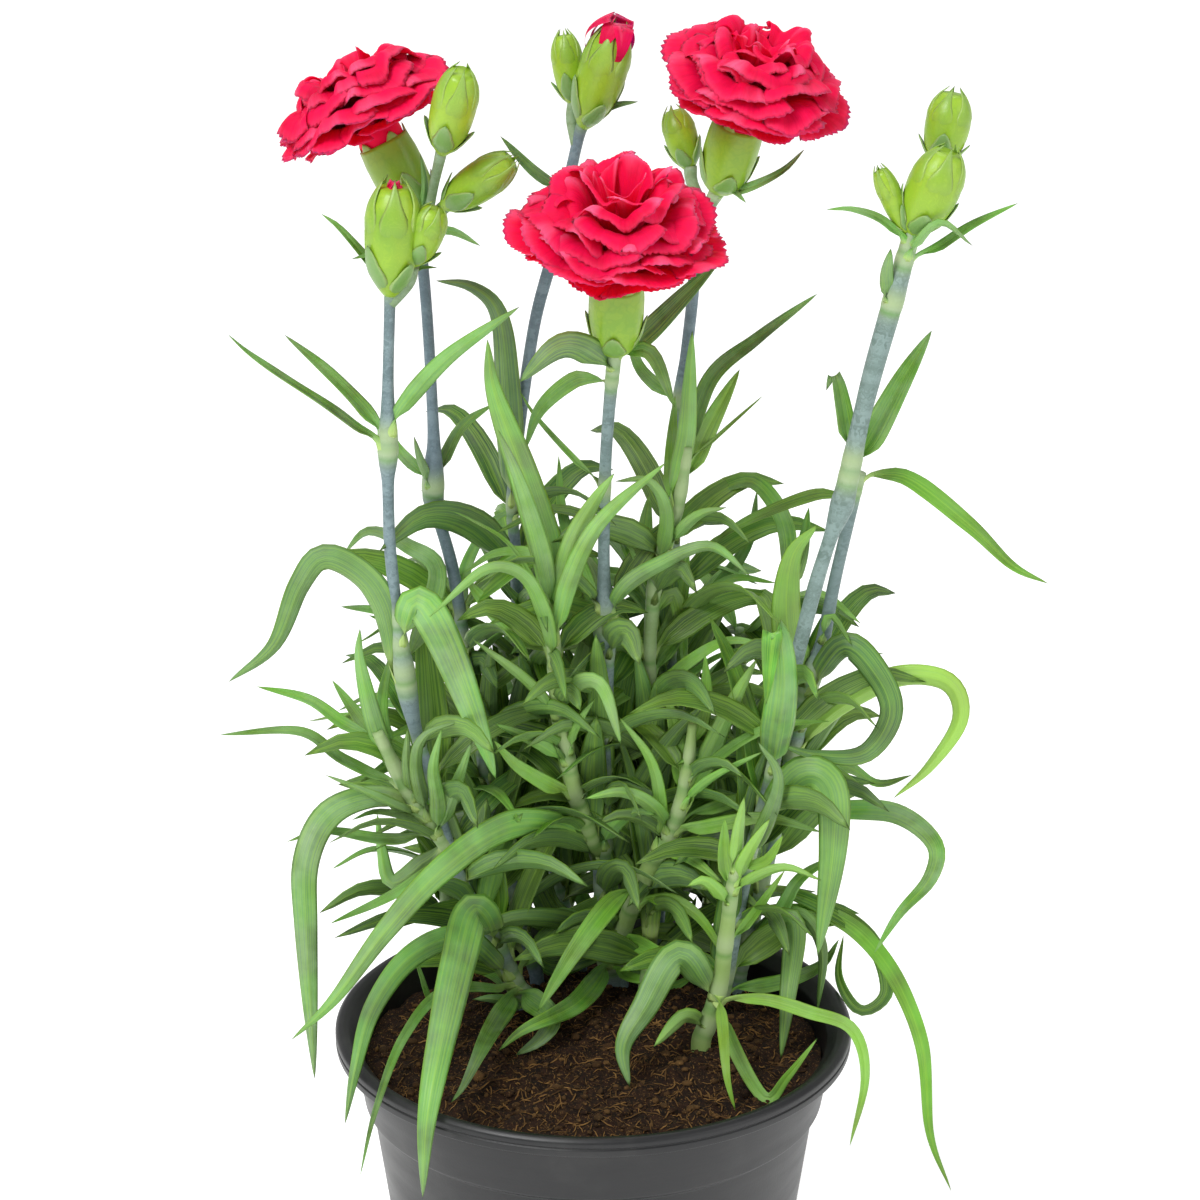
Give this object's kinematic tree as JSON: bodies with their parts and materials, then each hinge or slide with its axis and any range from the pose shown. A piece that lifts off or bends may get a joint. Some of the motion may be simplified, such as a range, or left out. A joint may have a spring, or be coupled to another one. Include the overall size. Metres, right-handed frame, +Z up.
{
  "type": "potted dianthus plant",
  "caption": "Flowering pot carnation in a round nursery pot: narrow arching leaves, slender jointed stems, plump buds and ruffled double blooms above dark peat",
  "frame": {"origin": "centre of the pot's underside, on the surface it stands on", "axes": "+Z up along the plant, +X to the right seen from the front, +Y away from the viewer"},
  "size_m": [0.1942, 0.1574, 0.3407],
  "materials": {
    "pot_plastic": "black satin injection-moulded plastic",
    "soil": "dark moist peat with golden fibres",
    "foliage": "waxy green leaves and glaucous stems",
    "petals": "soft crimson-pink petals"
  },
  "bodies": {
    "root": {"pot": "pot_plastic", "soil": "soil", "stem_left_front": "foliage", "stem_left_back": "foliage", "stem_middle": "foliage", "stem_middle_back": "foliage", "stem_right_back": "foliage", "stem_right_middle": "foliage", "stem_right_front": "foliage", "shoot_tall": "foliage", "shoot_right_front": "foliage", "shoot_back_left": "foliage", "shoot_back_middle": "foliage", "shoot_back_right": "foliage", "bloom_left": "petals", "bloom_middle": "petals", "bloom_right": "petals"}
  },
  "joints": []
}
